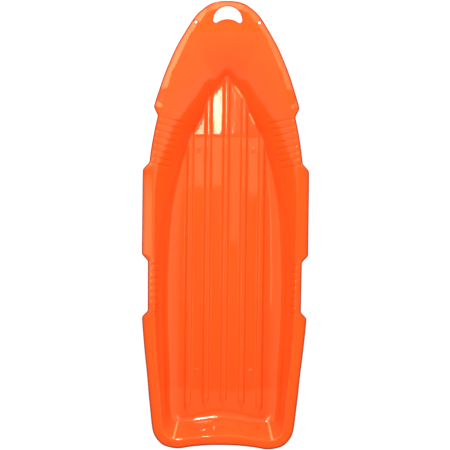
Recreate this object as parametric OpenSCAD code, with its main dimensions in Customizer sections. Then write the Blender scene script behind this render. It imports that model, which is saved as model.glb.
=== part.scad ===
// One-piece plastic snow sled, lying on its running surface.
// X across (right side +X), +Y towards the bow, +Z up. The origin is on the
// running surface, midway between the bow tip and the stern lobes.
// The real sled is one moulding. Each node below is a named region of it, and
// neighbouring regions meet face to face on shared points.

/* [Overall size] */
// Overall length, bow tip to stern lobes
overall_length = 1222; // [1150:1:1290]
// Overall width across the side rims
overall_width = 454; // [430:1:480]
// Height of the side rims above the running surface
side_height = 94; // [84:1:104]
// Height of the nose above the running surface
nose_height = 124; // [116:1:134]
// Thickness of the moulded wall
wall = 3; // [2.5:0.1:3.5]

/* [Rim] */
// Depth of the lip turned down round the edge of the rim
lip_depth = 10; // [7:0.5:12]
// How far each hand-hold is cut in from the rim's line
notch_depth = 16.5; // [12:0.5:17]

/* [Floor] */
// Number of lengthwise ribs, the middle one on the centre line
rib_count = 5; // [1:2:5]
// Distance between rib centres
rib_pitch = 49; // [46:0.5:50]
// Height of the ribs above the floor panels
rib_height = 6; // [4:0.5:8]
// Width of a rib at its foot
rib_foot = 22; // [18:1:24]
// Width of the flat top of a rib
rib_top = 9; // [6:1:12]
// Diameter of the four small stacking pips
pip_d = 12; // [8:1:14]
// Height of the stacking pips
pip_h = 1.2; // [0.6:0.1:2]

/* [Hand-holds] */
// Number of finger flutes in each hand-hold
flute_count = 8; // [6:1:8]
// Spacing of the flutes in the front hand-holds
front_flute_pitch = 18; // [16:0.5:18]
// Spacing of the flutes in the rear hand-holds
rear_flute_pitch = 18.7; // [16:0.1:18.7]
// Depth of the flutes
flute_depth = 2.2; // [1:0.1:3]

/* [Nose] */
// Radius of the front edge of the grab slot
slot_r = 39.5; // [34:0.5:41]
// Radius of the rear edge of the grab slot
slot_rear_r = 50; // [45:1:56]
// Radius of the rounded ends of the grab slot
slot_end_r = 7; // [5:0.5:8]
// Opening of the grab slot on the centre line
slot_gap = 35; // [28:1:38]
// Diameter of the two tow-rope holes
tow_hole_d = 8; // [6:0.5:9]

/* [Hidden] */

orange = [1, 0.42, 0.15];
sx = overall_width / 454;
sy = overall_length / 1222;

// Floor heights: flat amidships, kicked up at the bow and at the stern
bow_bend_y = 250;
stern_bend_y = -450;
bow_slope = 0.23;
stern_slope = 0.15;
pan_half = 112;
pan_front_y = 114;

// Stations from the bow (row 0, centre line) down the right side to the stern
// (last row, centre line). Each row is [rim line x, y, inner edge of the rim
// x, y, foot of the wall x, y, edge of the floor x, y, rim height above or
// below side_height, wall curve].
ST = [
  [ 70, 589,   0, 530,   0, 403,   0, 397, 30, 2.1],
  [ 97, 558,  46, 530,  12, 393,  10, 388, 30, 2.1],
  [114, 530,  92, 530,  24, 380,  21, 376, 30, 2.1],
  [137, 490, 116, 486,  38, 361,  34, 358, 28, 2.1],
  [154, 453, 135, 444,  49, 338,  45, 335, 25, 2.0],
  [171, 411, 151, 405,  58, 318,  54, 315, 21, 1.9],
  [184, 372, 163, 366,  68, 299,  64, 296, 18, 1.85],
  [194, 340, 172, 333,  77, 281,  73, 278, 15, 1.8],
  [199.5, 320, 176, 314, 82, 271, 78, 268, 14, 1.75],
  [204, 300, 180, 295,  88, 260,  84, 257, 12, 1.7],
  [211, 268, 186, 263,  98, 236,  94, 234,  9, 1.6],
  [217, 235, 191, 231, 107, 210, 101, 209,  7, 1.5],
  [222, 202, 194, 199, 116, 184, 107, 183,  5, 1.4],
  [225.5, 170, 196, 168, 123, 158, 110, 158, 4, 1.3],
  [226.5, 150, 197, 149, 127, 141, 111, 141, 3, 1.25],
  [227, 120, 197, 119, 133, 114, 112, 114,  2, 1.2],
  [227,  60, 196,  60, 144,  60, 112,  60,  1, 1.15],
  [227, -10, 195, -10, 153, -10, 112, -10,  0, 1.12],
  [227, -78, 194, -78, 157, -78, 112, -78,  0, 1.12],
  [226.5, -100, 194, -100, 158, -100, 112, -100, 0, 1.12],
  [226, -145, 193, -145, 160, -145, 112, -145, 0, 1.12],
  [225.5, -190, 192, -190, 160, -190, 112, -190, 0, 1.12],
  [225, -234, 192, -234, 160, -234, 112, -234, 0, 1.12],
  [224, -254, 192, -254, 159, -254, 112, -254, 0, 1.12],
  [221, -292, 190, -292, 158, -292, 112, -292, 0, 1.12],
  [215, -352, 186, -352, 155, -352, 112, -352, 0, 1.12],
  [208, -412, 180, -412, 153, -412, 112, -412, 0, 1.12],
  [203, -465, 174, -462, 153, -455, 112, -450, 0, 1.12],
  [199, -500, 171, -496, 151, -490, 112, -484, 0, 1.12],
  [194, -545, 168, -538, 147, -518, 111, -508, 0, 1.12],
  [190, -566, 164, -562, 142, -530, 109, -518, 1, 1.12],
  [182, -583, 157, -574, 137, -536, 106, -523, 1, 1.12],
  [166, -600, 148, -583, 132, -540, 103, -525, 2, 1.12],
  [146, -608, 136, -588, 125, -541,  99, -525, 2, 1.15],
  [120, -611, 114, -587, 106, -540,  86, -523, 2, 1.15],
  [ 86, -606,  84, -583,  80, -538,  66, -517, 2, 1.15],
  [ 44, -602,  44, -578,  42, -532,  36, -509, 2, 1.15],
  [  0, -601,   0, -576,   0, -528,   0, -505, 2, 1.15]
];
LAST = len(ST) - 1;
// Stations where one region ends and the next begins
K_NOSE = 2;
K_NOTCH1 = 8;
K_NOTCH2 = 14;
K_PAN = 15;
K_NOTCH3 = 18;
K_NOTCH4 = 23;
K_PAN_END = 27;
K_CORNER = 28;
K_CREASE = 33;
// Share of the wall, from its foot up, that lies below the fluted band
band = 0.45;

// Outline of the nose in front of station 2
NOSE = [[0, 611], [18, 610.5], [34, 608.5], [52, 602], [66, 592.5], [79, 581],
        [88, 570.5], [96, 559.5], [103, 548], [114, 530]];
nose_y = 530;
slot_y = 558;
tow_x = 87;
tow_y = 553.5;
tow_pad = 14;
tow_turn = 30;

// ---- Station functions ----
function mirrored(r) = [-r[0], r[1], -r[2], r[3], -r[4], r[5], -r[6], r[7], r[8], r[9]];
function row(i) = i < 0 ? mirrored(ST[-i]) : i > LAST ? mirrored(ST[2 * LAST - i]) : ST[i];
function spline(a, b, c, d, t) =
  0.5 * (2 * b + (c - a) * t + (2 * a - 5 * b + 4 * c - d) * t * t + (3 * b - a - 3 * c + d) * t * t * t);
function station(k) = let (i = min(floor(k), LAST - 1)) spline(row(i - 1), row(i), row(i + 1), row(i + 2), k - i);
function ramp(y, a, b) = max(0, min(1, (y - a) / (b - a)));
// 1 inside a hand-hold, 0 outside, with sloped shoulders
function notch(y) = ramp(y, 320, 300) * ramp(y, 150, 170) + ramp(y, -78, -100) * ramp(y, -254, -234);
function floor_z(y) = wall + bow_slope * max(0, y - bow_bend_y) + stern_slope * max(0, stern_bend_y - y);
function rim_z(r) = side_height + r[8] * (nose_height - side_height) / 30;

function inner_pt(k, r) = k <= K_NOSE ? [46 * k, nose_y] : [r[2], r[3]];
function edge_pt(r) = [min(pan_half, r[6]), r[7]];
function foot_pt(r) = [r[4], r[5]];
function outer_pt(k, r) = let (b = [r[0], r[1]], i = inner_pt(k, r), d = i - b) b + d / norm(d) * notch_depth * notch(r[1]);

function place(p, z, side) = [side * p[0] * sx, p[1] * sy, z];

// Flute phase: 1 at the bottom of a flute, 0 on the land between two
function flutes(y) =
  let (a = 298 - y, b = -100.5 - y,
       n = flute_count * front_flute_pitch, m = flute_count * rear_flute_pitch)
  a > 0 && a < n ? (1 - cos(360 * a / front_flute_pitch)) / 2 :
  b > 0 && b < m ? (1 - cos(360 * b / rear_flute_pitch)) / 2 : 0;

// One point of the wall, with w from 0 at the foot to 1 at the rim.
// Returns [plan point, height, vertical thickness].
function wall_pt(k, r, w, fluted) =
  let (f = foot_pt(r), i = inner_pt(k, r), g = edge_pt(r),
       span = norm(i - f), sf = max(0.1, norm(f - g)),
       z0 = floor_z(g[1]) + 0.2 * sf, rise = rim_z(r) - z0,
       slope = rise / span * r[9] * pow(1 - min(w, 0.93), r[9] - 1),
       lean = sqrt(1 + slope * slope),
       cut = fluted ? flute_depth * flutes(i[1]) * lean * sin(180 * ramp(w, band, 1)) : 0)
  let (up = rise * (1 - pow(1 - w, r[9])))
  [f + (i - f) * w, z0 + up - cut, min(max(wall + 0.5, wall * lean), wall + up + 0.2 * sf)];
// One point of the curve between the floor and the foot of the wall
function heel_pt(r, u) =
  let (f = foot_pt(r), g = edge_pt(r), sf = max(0.1, norm(f - g)))
  [g + (f - g) * u, floor_z(g[1]) + 0.2 * sf * u * u, wall * sqrt(1 + 0.16 * u * u)];

// ---- Rings of points at one station ----
function both(pts, side) = concat(
  [for (p = pts) place(p[0], p[1], side)],
  [for (n = [len(pts) - 1 : -1 : 0]) place(pts[n][0], pts[n][1] - pts[n][2], side)]);
HEEL = [0, 0.35, 0.7];
FULL = [0, 0.15, 0.3, 0.5, 0.7, 0.85, 1];
LOWER = [0, 0.15, 0.3, band];
UPPER = [band, 0.6, 0.8, 1];
function wall_ring(ks, ws) =
  let (r = station(ks[0]))
  both(concat([for (u = HEEL) heel_pt(r, u)], [for (w = ws) wall_pt(ks[0], r, w, false)]), ks[1]);
function rim_z_pts(k, r, w0) =
  let (i = inner_pt(k, r), o = outer_pt(k, r), d = (o - i) / norm(o - i), w = norm(o - i), z = rim_z(r))
  [[i, z], [o - d * wall, z], [o, z], [o, z - wall], [o, z - lip_depth],
   [o - d * wall, z - lip_depth], [o - d * wall, z - wall], [i, z - wall]];
function rim_ring(ks) = let (r = station(ks[0])) [for (p = rim_z_pts(ks[0], r)) place(p[0], p[1], ks[1])];
function grip_ring(ks) =
  let (r = station(ks[0]), b = [for (w = UPPER) wall_pt(ks[0], r, w, true)], n = len(b) - 1,
       m = rim_z_pts(ks[0], r))
  concat([for (p = b) place(p[0], p[1], ks[1])],
         [for (j = [1 : 7]) place(m[j][0], m[j][1], ks[1])],
         [for (j = [n : -1 : 0]) place(b[j][0], b[j][1] - b[j][2], ks[1])]);

// ---- Faces ----
function strip_caps(n) = [for (i = [0 : n - 2]) each [[i, i + 1, 2 * n - 2 - i], [i, 2 * n - 2 - i, 2 * n - 1 - i]]];
RIM_CAPS = [[0, 1, 6], [0, 6, 7], [1, 2, 3], [1, 3, 6], [3, 4, 5], [3, 5, 6]];
GRIP_CAPS = let (n = len(UPPER) - 1, e = 2 * n + 8)
  concat([for (i = [0 : n - 2]) each [[i, i + 1, e - 1 - i], [i, e - 1 - i, e - i]]],
         [[n - 1, n, n + 7], [n - 1, n + 7, n + 8], [n - 1, n + 8, n + 9],
          [n, n + 1, n + 6], [n, n + 6, n + 7],
          [n + 1, n + 2, n + 3], [n + 1, n + 3, n + 6], [n + 3, n + 4, n + 5], [n + 3, n + 5, n + 6]]);
module loft(rings, caps, flip = false) {
  n = len(rings);
  m = len(rings[0]);
  sides = [for (i = [0 : n - 2], j = [0 : m - 1])
    let (a = i * m + j, b = i * m + (j + 1) % m, c = a + m, d = b + m)
    each [[a, b, d], [a, d, c]]];
  first = [for (t = caps) [t[0], t[2], t[1]]];
  last = [for (t = caps) [t[0] + (n - 1) * m, t[1] + (n - 1) * m, t[2] + (n - 1) * m]];
  all = concat(sides, first, last);
  polyhedron(points = [for (r = rings) each r], faces = flip ? [for (t = all) [t[0], t[2], t[1]]] : all);
}

// ---- Sample stations ----
INNER_Y = [for (i = [LAST : -1 : 0]) [ST[i][3] - i * 0.001, i]];
function k_at(y) = lookup(y, INNER_Y);
FRONT_N = flute_count * 4;
K_ALL = concat(
  [for (i = [0 : 5]) i * 0.4],
  [for (i = [1 : 18]) K_NOSE + i / 3],
  [K_NOTCH1 + 0.5],
  [for (i = [0 : FRONT_N]) k_at(298 - i * front_flute_pitch / 4)],
  [13.67, K_NOTCH2, 14.5, K_PAN, 15.5, 16, 16.5, 17, 17.5, K_NOTCH3, 18.5],
  [for (i = [0 : FRONT_N]) k_at(-100.5 - i * rear_flute_pitch / 4)],
  [K_NOTCH4],
  [for (i = [1 : 10]) K_NOTCH4 + i / 2],
  [for (i = [1 : 10]) K_CORNER + i / 2],
  [for (i = [1 : 8]) K_CREASE + i / 2]);
function between(a, b) = [for (k = K_ALL) if (k >= a && k <= b) k];
function side_list(a, b, s) = [for (k = between(a, b)) [k, s]];
function across(a, b) = let (k = between(a, b), n = len(k))
  a == 0 ? concat([for (i = [n - 1 : -1 : 1]) [k[i], -1]], [for (i = [0 : n - 1]) [k[i], 1]])
         : concat([for (i = [0 : n - 1]) [k[i], -1]], [for (i = [n - 2 : -1 : 0]) [k[i], 1]]);

// ---- Regions ----
module wall_part(a, b, s, ws = FULL) {
  color(orange) loft([for (k = side_list(a, b, s)) wall_ring(k, ws)], strip_caps(len(HEEL) + len(ws)), s > 0);
}
module rim_part(a, b, s) {
  color(orange) loft([for (k = side_list(a, b, s)) rim_ring(k)], RIM_CAPS, s > 0);
}
module grip_part(a, b, s) {
  color(orange) loft([for (k = side_list(a, b, s)) grip_ring(k)], GRIP_CAPS, s > 0);
}

// Floor profile across the sled: flat panels with raised, hollow-backed ribs
RIBS = [for (i = [0 : rib_count - 1]) (i - (rib_count - 1) / 2) * rib_pitch];
FLOOR_TOP = concat([[-pan_half, 0]],
  [for (c = RIBS) each [[c - rib_foot / 2, 0], [c - rib_top / 2, rib_height], [c + rib_top / 2, rib_height], [c + rib_foot / 2, 0]]],
  [[pan_half, 0]]);
function floor_ring(y) = both([for (p = FLOOR_TOP) [[p[0], y], floor_z(y) + p[1], wall]], 1);
module pip(x, y) { translate([x * sx, y * sy, floor_z(y) - 0.5]) cylinder(d = pip_d, h = pip_h + 0.5, $fn = 48); }
module arch_shape() {
  k = across(0, K_PAN);
  polygon([for (p = k) let (e = edge_pt(station(p[0]))) [p[1] * e[0] * sx, e[1] * sy]]);
}
module tail_shape() {
  k = across(K_PAN_END, LAST);
  polygon([for (p = k) let (e = edge_pt(station(p[0]))) [p[1] * e[0] * sx, e[1] * sy]]);
}
module floor_front() {
  color(orange) union() {
    intersection() {
      loft([for (y = [pan_front_y, bow_bend_y, 412]) floor_ring(y)], strip_caps(len(FLOOR_TOP)), false);
      translate([0, 0, -20]) linear_extrude(120) arch_shape();
    }
    for (s = [-1, 1]) pip(s * 74.5, 205);
  }
}
module floor_pan() {
  color(orange) union() {
    translate([0, pan_front_y * sy, 0]) rotate([90, 0, 0])
      linear_extrude((pan_front_y - stern_bend_y) * sy)
        polygon([for (p = floor_ring(0)) [p[0], p[2]]]);
    for (s = [-1, 1]) pip(s * 74.5, -400);
  }
}
module floor_rear() {
  color(orange) intersection() {
    loft([for (y = [stern_bend_y, -540]) floor_ring(y)], strip_caps(len(FLOOR_TOP)), true);
    translate([0, 0, -20]) linear_extrude(120) tail_shape();
  }
}
module bow_deck() {
  color(orange) loft([for (k = across(0, K_NOSE)) wall_ring(k, FULL)], strip_caps(len(HEEL) + len(FULL)), true);
}
module left_bow_side() { wall_part(K_NOSE, K_NOTCH1, -1); }
module right_bow_side() { wall_part(K_NOSE, K_NOTCH1, 1); }
module left_front_wall() { wall_part(K_NOTCH1, K_NOTCH2, -1, LOWER); }
module right_front_wall() { wall_part(K_NOTCH1, K_NOTCH2, 1, LOWER); }
module left_side_wall() { wall_part(K_NOTCH2, K_NOTCH3, -1); }
module right_side_wall() { wall_part(K_NOTCH2, K_NOTCH3, 1); }
module left_rear_wall() { wall_part(K_NOTCH3, K_NOTCH4, -1, LOWER); }
module right_rear_wall() { wall_part(K_NOTCH3, K_NOTCH4, 1, LOWER); }
module left_stern_corner() { wall_part(K_NOTCH4, K_CREASE, -1); }
module right_stern_corner() { wall_part(K_NOTCH4, K_CREASE, 1); }
module stern_wall() {
  color(orange) loft([for (k = across(K_CREASE, LAST)) wall_ring(k, FULL)], strip_caps(len(HEEL) + len(FULL)), false);
}
module left_bow_rim() { rim_part(K_NOSE, K_NOTCH1, -1); }
module right_bow_rim() { rim_part(K_NOSE, K_NOTCH1, 1); }
module left_front_grip() { grip_part(K_NOTCH1, K_NOTCH2, -1); }
module right_front_grip() { grip_part(K_NOTCH1, K_NOTCH2, 1); }
module left_side_rim() { rim_part(K_NOTCH2, K_NOTCH3, -1); }
module right_side_rim() { rim_part(K_NOTCH2, K_NOTCH3, 1); }
module left_rear_grip() { grip_part(K_NOTCH3, K_NOTCH4, -1); }
module right_rear_grip() { grip_part(K_NOTCH3, K_NOTCH4, 1); }
module left_rear_rim() { rim_part(K_NOTCH4, K_CREASE, -1); }
module right_rear_rim() { rim_part(K_NOTCH4, K_CREASE, 1); }
module stern_rim() {
  color(orange) loft([for (k = across(K_CREASE, LAST)) rim_ring(k)], RIM_CAPS, false);
}

// Nose: a flat plate with a turned-down lip, a crescent grab slot and two
// tow-rope holes, each hole in a small pad
function nose_row(i) = i < 0 ? [-NOSE[-i][0], NOSE[-i][1]] : i > len(NOSE) - 1 ? [137, 490] : NOSE[i];
NOSE_R = [for (i = [0 : len(NOSE) - 2], t = [0, 0.34, 0.67])
  spline(nose_row(i - 1), nose_row(i), nose_row(i + 1), nose_row(i + 2), t)];
NOSE_PTS = concat(NOSE_R, [NOSE[len(NOSE) - 1]]);
function nose_line(inset) = [for (i = [0 : len(NOSE_PTS) - 1])
  let (a = NOSE_PTS[max(0, i - 1)], b = NOSE_PTS[min(len(NOSE_PTS) - 1, i + 1)],
       d = i == 0 ? [1, 0] : (b - a) / norm(b - a))
  NOSE_PTS[i] - inset * [-d[1], d[0]]];
module nose_outline(inset, y0) {
  r = nose_line(inset);
  n = len(r) - 1;
  polygon(concat([for (p = r) [p[0] * sx, p[1] * sy]],
                 [[r[n][0] * sx, y0 * sy], [-r[n][0] * sx, y0 * sy]],
                 [for (i = [n : -1 : 1]) [-r[i][0] * sx, r[i][1] * sy]]));
}
// The crescent slot, from four tangent arcs
slot_lo_y = slot_y + slot_r - slot_gap - slot_rear_r;
slot_hi = slot_r - slot_end_r;
slot_low = slot_rear_r + slot_end_r;
slot_dy = slot_y - slot_lo_y;
slot_ey = (slot_low * slot_low - slot_hi * slot_hi + slot_dy * slot_dy) / (2 * slot_dy);
slot_ex = sqrt(slot_low * slot_low - slot_ey * slot_ey);
slot_end_y = slot_lo_y + slot_ey;
module slot_shape() {
  a1 = atan2(slot_end_y - slot_y, slot_ex);
  a2 = atan2(slot_ey, slot_ex);
  translate([0, slot_y * (sy - 1)]) polygon(concat(
    [for (i = [0 : 24]) let (a = a1 + (180 - 2 * a1) * i / 24) [slot_r * cos(a), slot_y + slot_r * sin(a)]],
    [for (i = [1 : 7]) let (a = 180 - a1 + (180 + a1 - a2) * 0 + (a1 + 180 - a2) * i / 8) [-slot_ex + slot_end_r * cos(a), slot_end_y + slot_end_r * sin(a)]],
    [for (i = [0 : 12]) let (a = 180 - a2 - (180 - 2 * a2) * i / 12) [slot_rear_r * cos(a), slot_lo_y + slot_rear_r * sin(a)]],
    [for (i = [1 : 7]) let (a = 180 + a2 + (180 - a2 + a1) * i / 8) [slot_ex + slot_end_r * cos(a), slot_end_y + slot_end_r * sin(a)]]));
}
module pads() {
  for (s = [-1, 1]) translate([s * tow_x * sx, tow_y * sy]) rotate(s * tow_turn) square(tow_pad, center = true);
}
module nose_plate() {
  difference() {
    union() {
      translate([0, 0, nose_height - wall]) linear_extrude(wall) nose_outline(0, nose_y);
      translate([0, 0, nose_height - lip_depth]) linear_extrude(lip_depth - wall)
        difference() { nose_outline(0, nose_y); nose_outline(wall, nose_y - 1); }
    }
    translate([0, 0, nose_height - 40]) linear_extrude(80) { slot_shape(); pads(); }
  }
}
module rear_half() {
  translate([0, 0, nose_height - 50]) linear_extrude(100) union() {
    translate([-200, 400]) square([400, 163 + (sy - 1) * 563]);
    translate([-30 * sx, 500]) square([60 * sx, 75 + (sy - 1) * 575]);
  }
}
module nose_deck() { color(orange) intersection() { nose_plate(); rear_half(); } }
module nose_handle() { color(orange) difference() { nose_plate(); rear_half(); } }
module tow_eye(s) {
  color(orange) translate([s * tow_x * sx, tow_y * sy, nose_height - wall]) difference() {
    rotate(s * tow_turn) linear_extrude(wall) square(tow_pad, center = true);
    translate([0, 0, -1]) cylinder(d = tow_hole_d, h = wall + 2, $fn = 48);
  }
}
module left_tow_eye() { tow_eye(-1); }
module right_tow_eye() { tow_eye(1); }

floor_front();
floor_pan();
floor_rear();
bow_deck();
left_bow_side();
right_bow_side();
left_front_wall();
right_front_wall();
left_side_wall();
right_side_wall();
left_rear_wall();
right_rear_wall();
left_stern_corner();
right_stern_corner();
stern_wall();
nose_deck();
nose_handle();
left_tow_eye();
right_tow_eye();
left_bow_rim();
right_bow_rim();
left_front_grip();
right_front_grip();
left_side_rim();
right_side_rim();
left_rear_grip();
right_rear_grip();
left_rear_rim();
right_rear_rim();
stern_rim();
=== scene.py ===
import math

import bpy
import numpy as np
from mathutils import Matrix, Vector
from mathutils.geometry import delaunay_2d_cdt


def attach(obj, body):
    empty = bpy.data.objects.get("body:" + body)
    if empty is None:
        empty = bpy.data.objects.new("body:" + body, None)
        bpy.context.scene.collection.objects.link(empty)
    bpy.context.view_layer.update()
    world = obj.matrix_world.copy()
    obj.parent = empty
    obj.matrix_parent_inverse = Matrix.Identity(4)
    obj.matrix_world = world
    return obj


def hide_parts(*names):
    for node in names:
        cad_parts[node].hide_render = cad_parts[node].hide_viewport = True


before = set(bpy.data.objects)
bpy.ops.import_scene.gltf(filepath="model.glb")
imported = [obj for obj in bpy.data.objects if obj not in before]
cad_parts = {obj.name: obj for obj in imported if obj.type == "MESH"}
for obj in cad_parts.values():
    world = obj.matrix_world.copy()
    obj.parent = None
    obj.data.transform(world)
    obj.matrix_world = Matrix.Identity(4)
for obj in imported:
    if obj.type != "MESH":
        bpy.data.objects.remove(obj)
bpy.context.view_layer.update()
scene = bpy.context.scene

# ------------------------------------------------------------------ camera
# Straight down on the sled, bow up, turned a little clockwise as in the picture.
CAM_DIST = 20.0
FIELD = 1.2304  # metres across the square frame, at rim height
RIM_Z = 0.094
ROLL = math.radians(0.68)
PX = FIELD / 450.0


def pixel_to_frame(px, py):
    """Frame X, Y in metres of a picture pixel, for the middle of the rim."""
    dx, dy = px - 224.9, py - 225.3
    u = dx * math.cos(ROLL) + dy * math.sin(ROLL)
    v = -dx * math.sin(ROLL) + dy * math.cos(ROLL)
    return u * PX, -v * PX


cam_data = bpy.data.cameras.new("camera")
cam = bpy.data.objects.new("camera", cam_data)
scene.collection.objects.link(cam)
scene.camera = cam
cam_data.sensor_width = 36.0
cam_data.lens = 36.0 * (CAM_DIST - RIM_Z) / FIELD
cam_data.clip_start, cam_data.clip_end = 0.5, 100.0
cam_data.dof.use_dof = False
cx, cy = pixel_to_frame(224.6, 225.2)
cam.location = (cx, cy, CAM_DIST)
cam.rotation_euler = (0.0, 0.0, ROLL)

# ------------------------------------------------------------------ stations, in millimetres, as in the CAD part
WALL, SIDE_H, NOSE_H, LIP, NOTCH = 3.0, 94.0, 124.0, 10.0, 16.5
FRONT_P, REAR_P, FLUTES = 18.0, 18.7, 8
ST = np.array([
    [70, 589, 0, 530, 0, 403, 0, 397, 30, 2.1], [97, 558, 46, 530, 12, 393, 10, 388, 30, 2.1],
    [114, 530, 92, 530, 24, 380, 21, 376, 30, 2.1], [137, 490, 116, 486, 38, 361, 34, 358, 28, 2.1],
    [154, 453, 135, 444, 49, 338, 45, 335, 25, 2.0], [171, 411, 151, 405, 58, 318, 54, 315, 21, 1.9],
    [184, 372, 163, 366, 68, 299, 64, 296, 18, 1.85], [194, 340, 172, 333, 77, 281, 73, 278, 15, 1.8],
    [199.5, 320, 176, 314, 82, 271, 78, 268, 14, 1.75], [204, 300, 180, 295, 88, 260, 84, 257, 12, 1.7],
    [211, 268, 186, 263, 98, 236, 94, 234, 9, 1.6], [217, 235, 191, 231, 107, 210, 101, 209, 7, 1.5],
    [222, 202, 194, 199, 116, 184, 107, 183, 5, 1.4], [225.5, 170, 196, 168, 123, 158, 110, 158, 4, 1.3],
    [226.5, 150, 197, 149, 127, 141, 111, 141, 3, 1.25], [227, 120, 197, 119, 133, 114, 112, 114, 2, 1.2],
    [227, 60, 196, 60, 144, 60, 112, 60, 1, 1.15], [227, -10, 195, -10, 153, -10, 112, -10, 0, 1.12],
    [227, -78, 194, -78, 157, -78, 112, -78, 0, 1.12], [226.5, -100, 194, -100, 158, -100, 112, -100, 0, 1.12],
    [226, -145, 193, -145, 160, -145, 112, -145, 0, 1.12], [225.5, -190, 192, -190, 160, -190, 112, -190, 0, 1.12],
    [225, -234, 192, -234, 160, -234, 112, -234, 0, 1.12], [224, -254, 192, -254, 159, -254, 112, -254, 0, 1.12],
    [221, -292, 190, -292, 158, -292, 112, -292, 0, 1.12], [215, -352, 186, -352, 155, -352, 112, -352, 0, 1.12],
    [208, -412, 180, -412, 153, -412, 112, -412, 0, 1.12], [203, -465, 174, -462, 153, -455, 112, -450, 0, 1.12],
    [199, -500, 171, -496, 151, -490, 112, -484, 0, 1.12], [194, -545, 168, -538, 147, -518, 111, -508, 0, 1.12],
    [190, -566, 164, -562, 142, -530, 109, -518, 1, 1.12], [182, -583, 157, -574, 137, -536, 106, -523, 1, 1.12],
    [166, -600, 148, -583, 132, -540, 103, -525, 2, 1.12], [146, -608, 136, -588, 125, -541, 99, -525, 2, 1.15],
    [120, -611, 114, -587, 106, -540, 86, -523, 2, 1.15], [86, -606, 84, -583, 80, -538, 66, -517, 2, 1.15],
    [44, -602, 44, -578, 42, -532, 36, -509, 2, 1.15], [0, -601, 0, -576, 0, -528, 0, -505, 2, 1.15],
])
LAST = len(ST) - 1
K_NOSE, K_NOTCH1, K_NOTCH2, K_PAN, K_NOTCH3, K_NOTCH4, K_PAN_END, K_CORNER, K_CREASE = 2, 8, 14, 15, 18, 23, 27, 28, 33
BAND = 0.45
FLIP = np.array([-1, 1, -1, 1, -1, 1, -1, 1, 1, 1.0])
EXT = np.vstack([ST[1] * FLIP, ST, ST[LAST - 1] * FLIP])
NOSE = np.array([[0, 611], [18, 610.5], [34, 608.5], [52, 602], [66, 592.5], [79, 581], [88, 570.5], [96, 559.5], [103, 548], [114, 530.0]])
SLOT_Y, SLOT_R, SLOT_REAR_R, SLOT_END_R, SLOT_GAP = 558.0, 39.5, 50.0, 7.0, 35.0
TOW = (87.0, 553.5)


def spline(a, b, c, d, t):
    return 0.5 * (2 * b + (c - a) * t + (2 * a - 5 * b + 4 * c - d) * t * t + (3 * b - a - 3 * c + d) * t * t * t)


def station(k):
    k = np.atleast_1d(np.asarray(k, float))
    i = np.minimum(np.floor(k).astype(int), LAST - 1)
    return spline(EXT[i], EXT[i + 1], EXT[i + 2], EXT[i + 3], (k - i)[:, None])


def ramp(y, a, b):
    return np.clip((y - a) / (b - a), 0, 1)


def smooth(x):
    x = np.clip(x, 0, 1)
    return x * x * (3 - 2 * x)


def srelu(t, r):
    """max(t, 0) with its corner rounded over 2 r."""
    return np.where(t <= -r, 0.0, np.where(t >= r, t, (t + r) ** 2 / (4 * r)))


# The hand-holds' outline, with rounded shoulders
_y = np.arange(-700, 701, 0.5)
_n = ramp(_y, 321, 301) * ramp(_y, 150, 170) + ramp(_y, -82, -99.5) * ramp(_y, -253, -237)
_g = np.exp(-0.5 * (np.arange(-20, 21) * 0.5 / 2.6) ** 2)
_n = np.convolve(_n, _g / _g.sum(), "same")


def notch(y):
    return np.interp(y, _y, _n)


# ------------------------------------------------------------------ height of the floor, its ribs and pips
RIBS = (-98.0, -49.0, 0.0, 49.0, 98.0)
RIB_H, RIB_HALF, TOP_HALF = 6.0, 11.0, 4.4
PIPS = [(s * 74.5, y) for s in (-1, 1) for y in (205.0, -400.0)]


def floor_base(x, y):
    """Floor without ribs: flat amidships, kicked up at the bow and at the stern."""
    bend = -456 + 13 * np.clip((np.abs(x) / 120) ** 2, 0, 1.3)
    return WALL + 0.23 * srelu(y - 245, 6) + 0.15 * srelu(bend - y, 5)


def rib_profile(d):
    """Height of one rib at d from its middle; it goes below 0 outside its foot."""
    top = RIB_H - 0.12 * (d / TOP_HALF) ** 2
    side = (RIB_HALF - np.abs(d)) * RIB_H / (RIB_HALF - TOP_HALF)
    return top - srelu(top - side, 1.7)


def tail_line(x):
    return -505 - 20.5 * (np.clip(np.abs(x), 0, 125) / 103) ** 1.6


def ribs_above(x, y, base):
    """How far the ribs stand above a surface of height base."""
    best = np.full(np.shape(x), -50.0)
    for c in RIBS:
        best = np.maximum(best, rib_profile(x - c))
    fade = smooth((y - tail_line(x) + 2.0) / 38.0)
    best = best - (1 - fade) * 7.5
    return srelu(floor_base(x, y) + best - base, 1.5)


def floor_z(x, y):
    z = floor_base(x, y)
    z = z + ribs_above(x, y, z)
    for px, py in PIPS:
        r = np.hypot(x - px, y - py)
        z = z + 1.2 * smooth((6.9 - r) / 2.0) - 0.25 * smooth((3.4 - r) / 3.4)
    return z


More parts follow.
